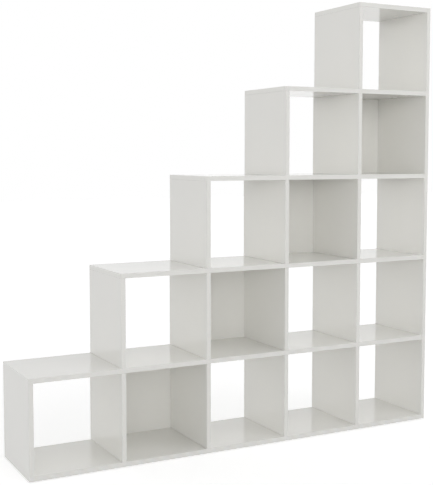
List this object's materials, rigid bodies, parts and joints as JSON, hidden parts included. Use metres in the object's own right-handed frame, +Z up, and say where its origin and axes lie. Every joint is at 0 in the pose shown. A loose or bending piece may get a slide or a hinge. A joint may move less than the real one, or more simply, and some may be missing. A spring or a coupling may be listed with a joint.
{
  "type": "cube bookcase",
  "caption": "Stepped free-standing bookcase of square compartments in rising columns, most open right through, some closed by a back panel.",
  "frame": {"origin": "middle of the bounding box's base: on the floor, under the middle of the width and of the depth", "axes": "+Z up, +X to the right as seen from the front, towards the tallest column, -Y out of the open front"},
  "size_m": [1.778, 0.3384, 1.781],
  "materials": {
    "board_coating": "gloss",
    "back_coating": "gloss",
    "bolt_zinc": "satin",
    "glide_plastic": "satin"
  },
  "bodies": {
    "root": {"back_panel_c2_r1": "back_coating", "back_panel_c3_r2": "back_coating", "back_panel_c4_r3": "back_coating", "back_panel_c5_r4": "back_coating", "base_panel": "board_coating", "bolt_base_c1": "bolt_zinc", "bolt_base_c2": "bolt_zinc", "bolt_base_c3": "bolt_zinc", "bolt_base_c4": "bolt_zinc", "bolt_base_c5": "bolt_zinc", "bolt_side_l0": "bolt_zinc", "bolt_side_l1": "bolt_zinc", "bolt_side_l2": "bolt_zinc", "bolt_side_l3": "bolt_zinc", "bolt_side_l4": "bolt_zinc", "bolt_side_l5": "bolt_zinc", "bolt_step_c1": "bolt_zinc", "bolt_step_c2": "bolt_zinc", "bolt_step_c3": "bolt_zinc", "bolt_step_c4": "bolt_zinc", "bolt_step_c5": "bolt_zinc", "divider_c1_r1": "board_coating", "divider_c2_r1": "board_coating", "divider_c2_r2": "board_coating", "divider_c3_r1": "board_coating", "divider_c3_r2": "board_coating", "divider_c3_r3": "board_coating", "divider_c4_r1": "board_coating", "divider_c4_r2": "board_coating", "divider_c4_r3": "board_coating", "divider_c4_r4": "board_coating", "divider_c5_r1": "board_coating", "divider_c5_r2": "board_coating", "divider_c5_r3": "board_coating", "divider_c5_r4": "board_coating", "divider_c5_r5": "board_coating", "glide_1_front": "glide_plastic", "glide_1_rear": "glide_plastic", "glide_2_front": "glide_plastic", "glide_2_rear": "glide_plastic", "glide_3_front": "glide_plastic", "glide_3_rear": "glide_plastic", "glide_4_front": "glide_plastic", "glide_4_rear": "glide_plastic", "shelf_1": "board_coating", "shelf_2": "board_coating", "shelf_3": "board_coating", "shelf_4": "board_coating", "side_panel": "board_coating", "through_bolt_c2_s1": "bolt_zinc", "through_bolt_c3_s1": "bolt_zinc", "through_bolt_c3_s2": "bolt_zinc", "through_bolt_c4_s1": "bolt_zinc", "through_bolt_c4_s2": "bolt_zinc", "through_bolt_c4_s3": "bolt_zinc", "through_bolt_c5_s1": "bolt_zinc", "through_bolt_c5_s2": "bolt_zinc", "through_bolt_c5_s3": "bolt_zinc", "through_bolt_c5_s4": "bolt_zinc", "top_panel": "board_coating"}
  },
  "joints": []
}
